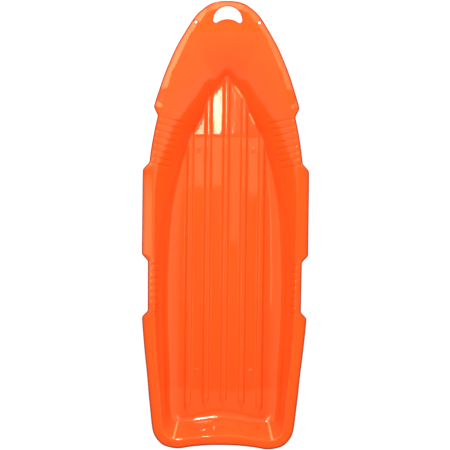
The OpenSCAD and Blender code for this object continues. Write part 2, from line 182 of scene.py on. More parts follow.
# ------------------------------------------------------------------ nose: a band at the rim's height round a shallow dish
def slot_outline(grow):
    """Outline of the crescent grab slot, anticlockwise, grown by grow all round."""
    lo_y = SLOT_Y + SLOT_R - SLOT_GAP - SLOT_REAR_R
    hi, low, dy = SLOT_R - SLOT_END_R, SLOT_REAR_R + SLOT_END_R, SLOT_Y - lo_y
    ey = (low * low - hi * hi + dy * dy) / (2 * dy)
    ex = math.sqrt(low * low - ey * ey)
    end_y = lo_y + ey
    a1, a2 = math.atan2(end_y - SLOT_Y, ex), math.atan2(ey, ex)
    pts = []
    for i in range(45):
        a = a1 + (math.pi - 2 * a1) * i / 44
        pts.append(((SLOT_R + grow) * math.cos(a), SLOT_Y + (SLOT_R + grow) * math.sin(a)))
    for i in range(1, 14):
        a = math.pi - a1 + (a1 + math.pi - a2) * i / 14
        pts.append((-ex + (SLOT_END_R + grow) * math.cos(a), end_y + (SLOT_END_R + grow) * math.sin(a)))
    for i in range(29):
        a = math.pi - a2 - (math.pi - 2 * a2) * i / 28
        pts.append(((SLOT_REAR_R - grow) * math.cos(a), lo_y + (SLOT_REAR_R - grow) * math.sin(a)))
    for i in range(1, 14):
        a = math.pi + a2 + (math.pi - a2 + a1) * i / 14
        pts.append((ex + (SLOT_END_R + grow) * math.cos(a), end_y + (SLOT_END_R + grow) * math.sin(a)))
    return np.array(pts)


DISH = np.array([[-128, 465], [-92, 530], [-80, 545.5], [-63, 567.5], [-50, 581.5], [-39, 587.5], [-26, 589], [0, 588.5],
                 [26, 589], [39, 587.5], [50, 581.5], [63, 567.5], [80, 545.5], [92, 530], [128, 465.0]])


def inside(poly, x, y):
    """Which points lie inside a closed polygon."""
    x, y = np.asarray(x, float), np.asarray(y, float)
    hit = np.zeros(x.shape, bool)
    a = poly
    b = np.roll(poly, -1, axis=0)
    for (x0, y0), (x1, y1) in zip(a, b):
        if y0 == y1:
            continue
        cross = ((y0 > y) != (y1 > y)) & (x < (x1 - x0) * (y - y0) / (y1 - y0) + x0)
        hit ^= cross
    return hit


def line_distance(line, x, y):
    best = np.full(np.shape(x), 1e9)
    for (x0, y0), (x1, y1) in zip(line[:-1], line[1:]):
        dx, dy = x1 - x0, y1 - y0
        t = np.clip(((x - x0) * dx + (y - y0) * dy) / (dx * dx + dy * dy), 0, 1)
        best = np.minimum(best, np.hypot(x - x0 - t * dx, y - y0 - t * dy))
    return best


def dish(x, y):
    """Depth of the dish below the band round the nose."""
    x, y = np.asarray(x, float), np.asarray(y, float)
    d = line_distance(DISH, x, y) * np.where(inside(DISH, x, y), 1, -1)
    return 3.2 * (1 - np.exp(-srelu(d, 1.6) / 20.0))


def boss(x, y):
    """A low moulded ring round each tow hole."""
    r = np.hypot(np.abs(x) - TOW[0], y - TOW[1])
    return 0.25 * smooth((8.2 - r) / 1.8)


def band_fall(x, y):
    """The band round the nose falls a little towards its outer edge."""
    x, y = np.asarray(x, float), np.asarray(y, float)
    d = line_distance(DISH, x, y) * np.where(inside(DISH, x, y), 0, 1)
    t = np.clip(d / np.interp(y, [530, 560, 590, 608], [18.8, 16, 16, 18.5]), 0, 1.15)
    return 1.7 * (0.85 * t + 0.15 * t * t)


# ------------------------------------------------------------------ columns round the sled
def k_spacing():
    fine = np.linspace(0, LAST, 37 * 80 + 1)
    r = station(fine)
    rim = np.hypot(np.diff(r[:, 0]), np.diff(r[:, 1]))
    inn = np.hypot(np.diff(r[:, 2]), np.diff(r[:, 3]))
    step = np.maximum(rim, inn)
    y = r[1:, 1]
    k = fine[1:]
    want = np.full(len(k), 4.2)
    want[(k < K_NOTCH1 + 1)] = 3.4
    want[(k > K_CORNER)] = 3.0
    for a, b in ((325, 296), (174, 146), (-74, -102), (-230, -257)):
        want[(y < a) & (y > b)] = 1.7
    want[(y < 299) & (y > 152)] = 1.5
    want[(y < -99) & (y > -252)] = 1.6
    along = np.concatenate([[0], np.cumsum(step / want)])
    marks = [0, K_NOSE, K_NOTCH1, K_NOTCH2, K_PAN, K_NOTCH3, K_NOTCH4, K_PAN_END, K_CREASE, LAST]
    out = []
    for a, b in zip(marks[:-1], marks[1:]):
        sa, sb = np.interp([a, b], fine, along)
        n = max(2, int(round(sb - sa)))
        s = np.linspace(sa, sb, n + 1)
        kk = np.interp(s, along, fine)
        kk[0], kk[-1] = a, b
        out.append(kk[:-1])
    out.append(np.array([float(LAST)]))
    return np.concatenate(out)


K = k_spacing()
NC = len(K)
R = station(K)
G = np.stack([np.minimum(112.0, R[:, 6]), R[:, 7]], 1)
F = R[:, 4:6].copy()
I = R[:, 2:4].copy()
nose_cols = K <= K_NOSE
I[nose_cols] = np.stack([46 * K[nose_cols], np.full(nose_cols.sum(), 530.0)], 1)
RIM = SIDE_H + R[:, 8] * (NOSE_H - SIDE_H) / 30.0
IN_Z = np.where(nose_cols, NOSE_H - dish(I[:, 0], I[:, 1]), RIM)
CURVE = R[:, 9]
b_line = R[:, 0:2]
d_in = I - b_line
d_in = d_in / np.linalg.norm(d_in, axis=1)[:, None]
O = b_line + d_in * (NOTCH * notch(b_line[:, 1]))[:, None]
SF = np.maximum(0.1, np.linalg.norm(F - G, axis=1))

# how much of a crease the deck keeps where it meets the rim, and how soft the corners are
CREASE = 0.42 * (1 - smooth(ramp(K, 9.5, 13.5)))
POWER = CURVE + 1.3 * CREASE
SIG_FOOT = np.interp(K, [0, 9, 12, 15, 17, 26, 29, 31, 32.4, 33, 37], [1.5, 1.5, 3.0, 8.0, 13.0, 13.0, 11.0, 8.0, 4.0, 2.8, 2.8])
SIG_IN = np.interp(K, [0, 1.2, 2, 8, 13, 37], [2.6, 2.4, 1.2, 1.3, 1.9, 1.9])


def wall_xyz(w):
    """Points of the wall for each column, w 0 at the foot to 1 at the rim, without flutes."""
    w = w[None, :]
    p = F[:, None, :] + (I - F)[:, None, :] * w[..., None]
    z0 = floor_base(G[:, 0], G[:, 1]) + 0.2 * SF
    rise = (IN_Z - z0)[:, None]
    c = CREASE[:, None]
    z = z0[:, None] + rise * ((1 - c) * (1 - (1 - w) ** POWER[:, None]) + c * w)
    return np.concatenate([p, z[..., None]], 2)


def heel_xyz(u):
    u = u[None, :]
    p = G[:, None, :] + (F - G)[:, None, :] * u[..., None]
    z = floor_base(G[:, 0], G[:, 1])[:, None] + 0.2 * SF[:, None] * u * u
    return np.concatenate([p, z[..., None]], 2)


RHO = 3.6  # radius of the rim's outer corner
# plan normals of the rim's outline, pointing out
nose_fine = []
for i in range(len(NOSE) - 1):
    a = NOSE[i - 1] if i else NOSE[1] * [-1, 1]
    d = NOSE[i + 2] if i + 2 < len(NOSE) else np.array([137.0, 490.0])
    for t in np.arange(0, 1, 1 / 8):
        nose_fine.append(spline(a, NOSE[i], NOSE[i + 1], d, t))
nose_fine = np.array(nose_fine)  # right half, tip to just before station 2
# the moulding's tip is a touch fuller and its shoulders a touch leaner than the spline
nose_fine[:, 1] += 1.5 * np.exp(-(nose_fine[:, 0] / 30.0) ** 2)
nose_fine -= 0.8 * np.exp(-((nose_fine[:, :1] - 64.0) / 20.0) ** 2) * np.array([[0.7, 0.7]])
n_at = int(np.searchsorted(K, K_NOSE))
outline = np.vstack([nose_fine, O[n_at:]])  # right half, tip to stern


def outline_normals(line):
    ext = np.vstack([line[1] * [-1, 1], line, line[-2] * [-1, 1]])
    t = ext[2:] - ext[:-2]
    t = t / np.linalg.norm(t, axis=1)[:, None]
    return np.stack([-t[:, 1], t[:, 0]], 1) * 1.0


ON = outline_normals(outline)
ON[0], ON[-1] = (0, 1), (0, -1)
if ON[len(ON) // 2, 0] < 0:
    ON = -ON
    ON[0], ON[-1] = (0, 1), (0, -1)
NN = len(nose_fine)
N_side = ON[NN:]
GROW = np.interp(K, [0, 6, 14, 18, 23, 28, 33, 37], [0, -0.1, 0.8, 0.5, 1.1, 1.3, 1.0, 0.6])
O = O + GROW[:, None] * np.vstack([np.zeros((n_at, 2)), N_side])
Q = np.full((NC, 2), np.nan)
Q[n_at:] = O[n_at:] - N_side * RHO

DROOP = np.interp(K, [0, 2, 6, 8, 14, 16, 18, 20, 23, 25, 28, 37], [0.0, 1.7, 1.8, 1.6, 1.2, 2.5, 2.5, 1.3, 1.3, 2.0, 1.6, 1.0])


def flange_xyz(t):
    """Flat of the rim, t 0 at its inner edge to 1 where its outer corner starts. Columns of the nose run on into the dish."""
    out = np.zeros((NC, len(t), 3))
    for j, tt in enumerate(t):
        side = I[n_at:] + (Q[n_at:] - I[n_at:]) * tt
        out[n_at:, j, :2] = side
        out[n_at:, j, 2] = RIM[n_at:] - DROOP[n_at:] * (0.85 * tt + 0.15 * tt * tt)
        ahead = (I - F)[:n_at]
        ahead = ahead / np.linalg.norm(ahead, axis=1)[:, None]
        p = I[:n_at] + ahead * 14 * tt
        out[:n_at, j, :2] = p
        out[:n_at, j, 2] = NOSE_H - dish(p[:, 0], p[:, 1])
    return out


# dense lines, then rows taken from them with rounded corners
U_ROWS = np.array([0, 0.14, 0.28, 0.42, 0.56, 0.7, 0.85])
W_ROWS = np.array([0, .012, .025, .04, .055, .07, .09, .11, .135, .16, .19, .22, .26, .3, .35, .4, BAND, .5, .55, .6, .65,
                   .7, .75, .8, .84, .875, .905, .93, .95, .965, .978, .988, .995, 1.0])
T_ROWS = np.array([0.02, 0.05, .1, .17, .27, .4, .55, .7, .85, 1.0])
e_d = np.linspace(-26, -1.0, 16)
u_d = np.linspace(0, 1, 22)[:-1]
w_d = 0.5 * (1 - np.cos(np.pi * np.linspace(0, 1, 131)))[:-1]
t_d = np.linspace(0, 1, 34)
back = (F - G) / SF[:, None]
lead = np.zeros((NC, len(e_d), 3))
lead[..., :2] = G[:, None, :] + back[:, None, :] * e_d[None, :, None]
lead[..., 2] = floor_base(lead[..., 0], lead[..., 1])
DENSE = np.concatenate([lead, heel_xyz(u_d), wall_xyz(w_d), flange_xyz(t_d)], 1)
seg = np.linalg.norm(np.diff(DENSE, axis=1), axis=2)
S = np.concatenate([np.zeros((NC, 1)), np.cumsum(seg, axis=1)], 1)
ds = np.zeros_like(S)
ds[:, 1:] += seg / 2
ds[:, :-1] += seg / 2
n_e, n_u, n_w = len(e_d), len(u_d), len(w_d)
S_E, S_F, S_I, S_Q = S[:, n_e], S[:, n_e + n_u], S[:, n_e + n_u + n_w], S[:, -1]
rows_s = np.zeros((NC, len(U_ROWS) + len(W_ROWS) + len(T_ROWS)))
for c in range(NC):
    rows_s[c] = np.concatenate([
        np.interp(U_ROWS, np.append(u_d, 1.0), S[c, n_e:n_e + n_u + 1]),
        np.interp(W_ROWS, np.append(w_d, 1.0), S[c, n_e + n_u:n_e + n_u + n_w + 1]),
        np.interp(T_ROWS, t_d, S[c, n_e + n_u + n_w:])])
near_foot = np.exp(-0.5 * ((rows_s - S_F[:, None]) / (1.6 * SIG_FOOT[:, None] + 2.0)) ** 2)
sig = 0.8 + (SIG_FOOT[:, None] - 0.8) * near_foot
sig = np.minimum(sig, 0.8 + 0.55 * np.maximum(0, rows_s - S_E[:, None]))
near_in = np.exp(-0.5 * ((rows_s - S_I[:, None]) / np.maximum(5.0, 1.8 * SIG_IN)[:, None]) ** 2)
sig = np.maximum(sig, 0.8 + (SIG_IN[:, None] - 0.8) * near_in)
sig = np.minimum(sig, 0.35 + 0.5 * np.maximum(0, S_Q[:, None] - rows_s) + 10.0 * (rows_s < S_I[:, None]))
sig = np.maximum(sig, 0.3)
TOP = np.zeros(rows_s.shape + (3,))
for c in range(NC):
    w = np.exp(-0.5 * ((rows_s[c][:, None] - S[c][None, :]) / sig[c][:, None]) ** 2) * ds[c][None, :]
    TOP[c] = (w / w.sum(1, keepdims=True)) @ DENSE[c]
# the ends of each line stay exactly where they are
TOP[:, 0] = DENSE[:, n_e]
TOP[n_at:, -1] = DENSE[n_at:, -1]
NU, NW, NT = len(U_ROWS), len(W_ROWS), len(T_ROWS)
R_IN = NU + NW - 1  # row of the rim's inner edge
R_BAND = NU + int(np.searchsorted(W_ROWS, BAND))


# flutes: rounded finger ridges with narrow valleys between them, level across the wall
def flute_wave(y):
    out = np.zeros(np.shape(y))
    for first, pitch in ((289.5, FRONT_P), (-109.9, REAR_P)):
        n = (first - y) / pitch
        dip = (1 - np.abs(np.sin(np.pi * n))) ** 1.9
        out = np.where((n > -0.5) & (n < FLUTES - 0.5), dip, out)
    return out


wrow = np.concatenate([np.full(NU, -1.0), W_ROWS, 1 + T_ROWS])[None, :]
front = (K > K_NOTCH1 - 1.5) & (K < K_NOTCH2 + 1.5)
rear = (K > K_NOTCH3 - 0.5) & (K < K_NOTCH4 + 0.5)
# the front flutes slant back a little as they run down the wall
inward = np.abs(I[:, 0])[:, None] - np.abs(TOP[..., 0])
wave = flute_wave(TOP[..., 1] + np.where(front[:, None], 0.22 * (inward - 12.0), 0.0))
deep = np.clip(notch(b_line[:, 1]), 0, 1)[:, None]
win_f = smooth(ramp(wrow, 0.30, 0.44)) * np.where(wrow <= 0.93, 1.0, np.minimum(1.0, deep)) * (1 - smooth(ramp(wrow, 1.0, 1.75)))
win_r = smooth(ramp(wrow, 0.55, 0.80)) * np.where(wrow <= 0.93, 1.0, np.minimum(1.0, deep)) * (1 - smooth(ramp(wrow, 1.0, 1.65)))
lean = np.ones((NC, wrow.shape[1]))
slope_w = (IN_Z - 12)[:, None] / np.maximum(20, np.linalg.norm(I - F, axis=1))[:, None] * POWER[:, None] * (1 - np.clip(wrow, 0, 0.95)) ** (POWER[:, None] - 1)
lean = np.where(wrow <= 1, np.sqrt(1 + slope_w ** 2), 1.0)
cut = np.where(front[:, None], 2.0 * win_f * np.minimum(lean, 2.2), 0) + np.where(rear[:, None], 1.6 * win_r * np.minimum(lean, 2.0), 0)
TOP[..., 2] -= cut * wave
# painted shade darkens the valleys a little
VALLEY_SHADE = wave * (np.where(front[:, None], 0.05 * win_f, 0)
                 + np.where(rear[:, None], 0.22 * smooth(ramp(wrow, 0.66, 0.88)) * (1 - smooth(ramp(wrow, 1.1, 1.6))), 0))

# a rounded bead stands up the stern wall at each corner, where the wall turns
bead = np.exp(-0.5 * ((K - (K_CREASE - 0.12)) / 0.16) ** 2)[:, None] * smooth(ramp(wrow, -0.1, 0.06)) * (1 - smooth(ramp(wrow, 0.97, 1.02)))
inward = (F - I) / np.linalg.norm(F - I, axis=1)[:, None]
TOP[..., :2] += inward[:, None, :] * (1.5 * bead)[..., None]

# rib ends run on up the deck
TOP[:, :NU + 16, 2] += ribs_above(TOP[:, :NU + 16, 0], TOP[:, :NU + 16, 1], TOP[:, :NU + 16, 2]) * (K < 20)[:, None]

# the rim's outer corner and its turned-down lip
ARC = np.radians([12, 26, 40, 54, 68, 80, 90])
LIP_Z = [-0.35, -0.7, -1.0]


def lip_rows(q, n, z_top):
    """Rounded corner and lip outwards from points q, (columns, rows, 3)."""
    out = []
    for a in ARC:
        out.append(np.column_stack([q + n * RHO * math.sin(a), z_top - RHO * (1 - math.cos(a))]))
    for f in LIP_Z:
        drop = (LIP - 1.5 - RHO) * -f
        out.append(np.column_stack([q + n * (RHO + 0.0), z_top - RHO - drop]))
    return np.stack(out, 1)


lip = lip_rows(Q[n_at:], N_side, TOP[n_at:, -1, 2])
SIDE_TOP = np.concatenate([TOP[n_at:], lip], 1)

# ------------------------------------------------------------------ one sheet of vertices and faces
V, REGION, FACES = [], [], []
# painted shade at each vertex, 0 to 1
PAINTED_SHADE = []


def add(points, tone=0.0):
    start = len(V)
    tones = np.broadcast_to(tone, (len(points),))
    V.extend(map(tuple, points))
    PAINTED_SHADE.extend(tones)
    return start


def mirror(p):
    return p * np.array([-1, 1, 1.0])


NR_WALL = NU + NW
# wall rows exist for every column, rim rows for columns from station 2 on
idx = {}
cols = [(i, 1) for i in range(NC)] + [(i, -1) for i in range(NC - 2, 0, -1)]
n_lip = len(ARC) + len(LIP_Z)
# painted shade along the rim's rounded outer corner and turned-down lip
lip_painted_shade = np.concatenate([np.zeros(NT - 3), [0.04, 0.22, 0.62], [.8, .92, 1, 1, 1, 1, 1], [0.9, 0.8, 0.7]])
wall_id = np.zeros((len(cols), NR_WALL), int)
rim_id = np.full((len(cols), NT + n_lip), -1, int)
for ci, (i, s) in enumerate(cols):
    p = TOP[i, :NR_WALL]
    st = add(p if s > 0 else mirror(p), VALLEY_SHADE[i, :NR_WALL])
    wall_id[ci] = np.arange(st, st + NR_WALL)
    if i >= n_at:
        p = SIDE_TOP[i - n_at, NR_WALL:]
        st = add(p if s > 0 else mirror(p), lip_painted_shade + np.append(VALLEY_SHADE[i, NR_WALL:NR_WALL + NT], np.zeros(n_lip)))
        rim_id[ci] = np.arange(st, st + NT + n_lip)


def side_name(s, name):
    return ("right_" if s > 0 else "left_") + name


def region_wall(k, s, w):
    if k < K_NOSE:
        return "bow_deck"
    if k < K_NOTCH1:
        return side_name(s, "bow_side")
    if k < K_NOTCH2:
        return side_name(s, "front_wall" if w else "front_grip")
    if k < K_NOTCH3:
        return side_name(s, "side_wall")
    if k < K_NOTCH4:
        return side_name(s, "rear_wall" if w else "rear_grip")
    if k < K_CREASE:
        return side_name(s, "stern_corner")
    return "stern_wall"


def region_rim(k, s):
    if k < K_NOTCH1:
        return side_name(s, "bow_rim")
    if k < K_NOTCH2:
        return side_name(s, "front_grip")
    if k < K_NOTCH3:
        return side_name(s, "side_rim")
    if k < K_NOTCH4:
        return side_name(s, "rear_grip")
    if k < K_CREASE:
        return side_name(s, "rear_rim")
    return "stern_rim"


ncols = len(cols)
for c in range(ncols):
    d = (c + 1) % ncols
    (ia, sa), (ib, sb) = cols[c], cols[d]
    km = 0.5 * (K[ia] + K[ib])
    s = sa if 0 < ia < NC - 1 else sb
    for r in range(NR_WALL - 1):
        FACES.append((wall_id[c, r], wall_id[d, r], wall_id[d, r + 1], wall_id[c, r + 1]))
        REGION.append(region_wall(km, s, r < R_BAND))
    if rim_id[c, 0] >= 0 and rim_id[d, 0] >= 0:
        ring_c = np.concatenate([[wall_id[c, -1]], rim_id[c]])
        ring_d = np.concatenate([[wall_id[d, -1]], rim_id[d]])
        for r in range(len(ring_c) - 1):
            FACES.append((ring_c[r], ring_d[r], ring_d[r + 1], ring_c[r + 1]))
            REGION.append(region_rim(km, s))

# nose outline strip, from the right side's station 2 over the tip to the left side's
col_of = {(i, s): ci for ci, (i, s) in enumerate(cols)}
right2, left2 = col_of[(n_at, 1)], col_of[(n_at, -1)]
half_q = nose_fine - ON[:NN] * RHO


def nose_top(x, y):
    return NOSE_H - dish(x, y) - band_fall(x, y) + boss(x, y)


strip_cols = []
order = [(i, 1) for i in range(NN - 1, -1, -1)] + [(i, -1) for i in range(1, NN)]
for i, s in order:
    q = half_q[i]
    n = ON[i]
    z = NOSE_H - float(band_fall(q[0], q[1]))
    pts = np.vstack([[q[0], q[1], z], lip_rows(q[None], n[None], np.array([z]))[0]])
    if s < 0:
        pts = mirror(pts)
    st = add(pts, lip_painted_shade[NT - 1:])
    strip_cols.append(np.arange(st, st + 1 + n_lip))
strip_cols = [rim_id[right2, NT - 1:]] + strip_cols + [rim_id[left2, NT - 1:]]
handle_from = None
nose_split = [j for j, c in enumerate(strip_cols) if V[c[0]][1] > 563]
for a, b in zip(range(len(strip_cols) - 1), range(1, len(strip_cols))):
    ca, cb = strip_cols[a], strip_cols[b]
    both_front = a >= nose_split[0] and b <= nose_split[-1]
    for r in range(n_lip):
        FACES.append((ca[r], ca[r + 1], cb[r + 1], cb[r]))
        REGION.append("nose_handle" if both_front else "nose_deck")


# ------------------------------------------------------------------ patches: the floor, and the nose plate
def patch(loops, inner, constraints, height, region, tone=None):
    """Triangulates between loops of known vertices, with more points inside. Each loop is a list of vertex numbers; the first is the outside."""
    pts, ids, edges = [], [], []
    seen = {}
    for loop in loops:
        for v in loop:
            if v not in seen:
                seen[v] = len(pts)
                pts.append(V[v][:2])
                ids.append(v)
        edges += [(seen[a], seen[b]) for a, b in zip(loop, loop[1:] + loop[:1])]
    first_inner = len(pts)
    for p in inner:
        pts.append(tuple(p))
        ids.append(None)
    for a, b in constraints:
        ja = seen[a[1]] if a[0] == "v" else first_inner + a[1]
        jb = seen[b[1]] if b[0] == "v" else first_inner + b[1]
        edges.append((ja, jb))
    res = delaunay_2d_cdt([Vector(p) for p in pts], edges, [], 0, 1e-5, True)
    verts, _, tris, orig = res[0], res[1], res[2], res[3]
    mapped = []
    for j, v in enumerate(verts):
        o = orig[j][0] if orig[j] else None
        if o is not None and ids[o] is not None:
            mapped.append(ids[o])
        else:
            z = float(height(np.array([v.x]), np.array([v.y]))[0])
            mapped.append(add([(v.x, v.y, z)], tone(v.x, v.y) if tone else 0.0))
    outer = np.array([V[v][:2] for v in loops[0]])
    holes = [np.array([V[v][:2] for v in lp]) for lp in loops[1:]]
    cen = np.array([np.mean([verts[t].to_tuple() for t in tri], axis=0) for tri in tris])
    ok = inside(outer, cen[:, 0], cen[:, 1])
    for h in holes:
        ok &= ~inside(h, cen[:, 0], cen[:, 1])
    for tri, good, c in zip(tris, ok, cen):
        if not good:
            continue
        a, b, c2 = (np.array(V[mapped[t]][:2]) for t in tri)
        if (b[0] - a[0]) * (c2[1] - a[1]) - (b[1] - a[1]) * (c2[0] - a[0]) < 0:
            tri = tri[::-1]
        FACES.append(tuple(mapped[t] for t in tri))
        REGION.append(region(c[0], c[1]))
    return mapped


# floor
edge_loop = [int(wall_id[c, 0]) for c in range(ncols)]
poly = np.array([V[v][:2] for v in edge_loop])
if np.sum((np.roll(poly[:, 0], -1) - poly[:, 0]) * (np.roll(poly[:, 1], -1) + poly[:, 1])) > 0:
    edge_loop = edge_loop[::-1]
    poly = poly[::-1]
xs = []
for c in RIBS:
    xs += [c + d for d in (-13, -12, -11, -10, -8.3, -6.6, -5.6, -4.8, -4, -3, -1.5, 0, 1.5, 3, 4, 4.8, 5.6, 6.6, 8.3, 10, 11, 12, 13)]
for c in (-73.5, -24.5, 24.5, 73.5):
    xs += [c - 7, c, c + 7]
xs = np.array(sorted(x for x in xs if abs(x) < 111))
ys = np.concatenate([np.arange(397, 262, -3.0), np.arange(262, 236, -1.6), np.arange(236, 114, -6.0), np.arange(114, -432, -9.0),
                     np.arange(-433, -468, -1.9), np.arange(-468, -484, -4), np.arange(-484, -527, -2.4)])
ys = np.unique(np.append(ys[np.abs(ys - 114) > 2.5], 114.0))
ys = np.unique(np.append(ys[np.abs(ys + 450) > 0.9], -450.0))
gx, gy = np.meshgrid(xs, ys)
gx, gy = gx.ravel(), gy.ravel()
closed = np.vstack([poly, poly[:1]])
keep = inside(poly, gx, gy)
gx, gy = gx[keep], gy[keep]
gap = np.where(np.abs(gy + 32) < 400, 1.4, 1.1)
keep = line_distance(closed, gx, gy) > gap
for px, py in PIPS:
    keep &= np.hypot(gx - px, gy - py) > 8.2
gx, gy = gx[keep], gy[keep]
inner = list(zip(gx, gy))
for px, py in PIPS:
    inner.append((px, py))
    for r, n in ((2, 10), (3.4, 16), (4.6, 24), (5.2, 28), (5.8, 28), (6.4, 28), (7.0, 28), (7.9, 28)):
        inner += [(px + r * math.cos(2 * math.pi * i / n), py + r * math.sin(2 * math.pi * i / n)) for i in range(n)]
cons = []
for k_row, yy in ((K_PAN, 114.0), (K_PAN_END, -450.0)):
    ci = int(np.searchsorted(K, k_row))
    va, vb = int(wall_id[col_of[(ci, 1)], 0]), int(wall_id[col_of[(ci, -1)], 0])
    chain = sorted([(x, j) for j, (x, y) in enumerate(inner) if abs(y - yy) < 1e-6])
    names = [("v", vb)] + [("i", j) for _, j in chain] + [("v", va)]
    cons += list(zip(names[:-1], names[1:]))
first_floor = len(V)
patch([edge_loop], inner, cons, floor_z, lambda x, y: "floor_front" if y > 114 else "floor_rear" if y < -450 else "floor_pan")
last_floor = len(V)

# nose plate
rear_ids = [int(wall_id[c, -1]) for c in [col_of[(i, -1)] for i in range(n_at, 0, -1)] + [col_of[(i, 1)] for i in range(0, n_at + 1)]]
side_r = [int(v) for v in rim_id[right2, :NT]]
side_l = [int(v) for v in rim_id[left2, :NT]]
outer_loop = rear_ids + side_r + [int(c[0]) for c in strip_cols[1:-1]] + side_l[::-1]
slot_pts = slot_outline(1.5)
# painted shade round the slot's edge
st = add([(x, y, float(nose_top(x, y))) for x, y in slot_pts], 0.75)
slot_loop = list(range(st, st + len(slot_pts)))
tow_loops, tow_marks = [], []
inner, cons = [], []
for s in (-1, 1):
    n = 28
    ring = [(s * TOW[0] + 5.5 * math.cos(2 * math.pi * i / n), TOW[1] + 5.5 * math.sin(2 * math.pi * i / n)) for i in range(n)]
    # painted shade round each tow hole
    st = add([(x, y, float(nose_top(x, y))) for x, y in ring], 0.7)
    tow_loops.append(list(range(st, st + n)))
    start = len(inner)
    for j, r in enumerate((8.6, 6.1, 6.8, 7.4, 8.0, 9.6)):
        inner += [(s * TOW[0] + r * math.cos(2 * math.pi * (i + 0.5 * (j % 2)) / n), TOW[1] + r * math.sin(2 * math.pi * (i + 0.5 * (j % 2)) / n)) for i in range(n)]
    cons += [(("i", start + i), ("i", start + (i + 1) % n)) for i in range(n)]
slot_arr = np.array(slot_pts)
splits = []
for sgn, js in ((1, nose_split[0]), (-1, nose_split[-1])):
    v_out = int(strip_cols[js][0])
    v_in = slot_loop[int(np.argmin(np.hypot(slot_arr[:, 0] - sgn * 41, slot_arr[:, 1] - 563)))]
    pa, pb = np.array(V[v_in][:2]), np.array(V[v_out][:2])
    n_step = int(np.hypot(*(pb - pa)) / 3.0)
    chain = [("v", v_in)]
    for i in range(1, n_step):
        inner.append(tuple(pa + (pb - pa) * i / n_step))
        chain.append(("i", len(inner) - 1))
    chain.append(("v", v_out))
    cons += list(zip(chain[:-1], chain[1:]))
    splits.append(np.array([pa, pb]))
outer_poly = np.array([V[v][:2] for v in outer_loop])
gx, gy = np.meshgrid(np.arange(-112, 112.1, 3.2), np.arange(528, 612, 3.0))
gx = gx + 1.6 * (np.round((gy - 528) / 3.0).astype(int) % 2)
gx, gy = gx.ravel(), gy.ravel()
keep = inside(outer_poly, gx, gy) & ~inside(slot_pts, gx, gy)
keep &= line_distance(np.vstack([outer_poly, outer_poly[:1]]), gx, gy) > 1.5
keep &= line_distance(np.vstack([slot_pts, slot_pts[:1]]), gx, gy) > 1.8
near_line = line_distance(DISH, gx, gy)
keep &= (near_line > 3.9)
for ln in splits:
    keep &= line_distance(ln, gx, gy) > 1.5
for s in (-1, 1):
    keep &= np.hypot(gx - s * TOW[0], gy - TOW[1]) > 11
inner += list(zip(gx[keep], gy[keep]))
# rows of points along both sides of the crease between the band and the dish
dl = np.vstack([DISH[1:-1]])
segs = np.concatenate([[0], np.cumsum(np.linalg.norm(np.diff(dl, axis=0), axis=1))])
sd = np.arange(2, segs[-1] - 1, 2.6)
lx, ly = np.interp(sd, segs, dl[:, 0]), np.interp(sd, segs, dl[:, 1])
tx, ty = np.gradient(lx), np.gradient(ly)
tn = np.hypot(tx, ty)
nx, ny = ty / tn, -tx / tn
extra = []
for off in (-3.0, -1.8, -0.9, 0.0, 0.9, 1.8, 3.0):
    extra += list(zip(lx + nx * off, ly + ny * off))
extra = np.array(extra)
ok = inside(outer_poly, extra[:, 0], extra[:, 1]) & ~inside(slot_pts, extra[:, 0], extra[:, 1])
ok &= line_distance(np.vstack([outer_poly, outer_poly[:1]]), extra[:, 0], extra[:, 1]) > 1.3
ok &= line_distance(np.vstack([slot_pts, slot_pts[:1]]), extra[:, 0], extra[:, 1]) > 1.4
for s in (-1, 1):
    ok &= np.hypot(extra[:, 0] - s * TOW[0], extra[:, 1] - TOW[1]) > 10.4
for ln in splits:
    ok &= line_distance(ln, extra[:, 0], extra[:, 1]) > 1.2
inner += [tuple(p) for p in extra[ok]]
def nose_region(x, y):
    for s, name in ((-1, "left_tow_eye"), (1, "right_tow_eye")):
        if math.hypot(x - s * TOW[0], y - TOW[1]) < 8.55:
            return name
    (ax, ay), (bx, by) = splits[0]
    if abs(x) < ax:
        return "nose_deck" if y < 572 else "nose_handle"
    return "nose_deck" if y < ay + (abs(x) - ax) * (by - ay) / (bx - ax) else "nose_handle"


first_nose = len(V)
slot_ring = np.vstack([slot_outline(0.0), slot_outline(0.0)[:1]])
rim_ring = np.vstack([outer_poly, outer_poly[:1]])


# painted shade near the slot's edge and along the nose's outer edge
def nose_tone(x, y):
    if y < 532:
        return 0.0
    d = float(line_distance(slot_ring, x, y))
    e = float(line_distance(rim_ring, x, y)) if y > 545 else 9.0
    return max(0.0, 0.85 - d / 6.0, 0.6 - e / 4.0)


patch([outer_loop, slot_loop] + tow_loops, inner, cons, nose_top, nose_region, nose_tone)

V = np.array(V, float)
PAINTED_SHADE = np.array(PAINTED_SHADE, float)
# painted highlights: pale lines along the sharp creases up the stern corners and along the right side of the arch,
# standing in for glints of light
PAINTED_HIGHLIGHT = np.zeros(len(V))
for ci, (i, s) in enumerate(cols):
    k = K[i]
    col_line = math.exp(-0.5 * ((k - K_CREASE) / 0.10) ** 2)
    arch = 0.0
    if s > 0:
        arch = max(float(smooth((k - 1.7) / 0.3) * smooth((3.6 - k) / 0.3)), float(smooth((k - 5.4) / 0.3) * smooth((7.3 - k) / 0.3)))
    for r in range(NR_WALL):
        run = rows_s[i, r] - S_E[i]
        w = wrow[0, r]
        v = 0.0
        if col_line > 0.02:
            v = col_line * float(smooth((w + 0.05) / 0.05) * smooth((0.99 - w) / 0.04))
        if arch:
            v = max(v, arch * float(np.exp(-0.5 * ((rows_s[i, r] - S_F[i] + 1.0) / 1.6) ** 2)))
        PAINTED_HIGHLIGHT[wall_id[ci, r]] = v
REGION = np.array(REGION)

# ------------------------------------------------------------------ normals, thickness
def face_arrays(faces):
    tris = []
    for f in faces:
        tris.append((f[0], f[1], f[2]))
        if len(f) == 4:
            tris.append((f[0], f[2], f[3]))
    return np.array(tris, int)


TRIS = face_arrays(FACES)


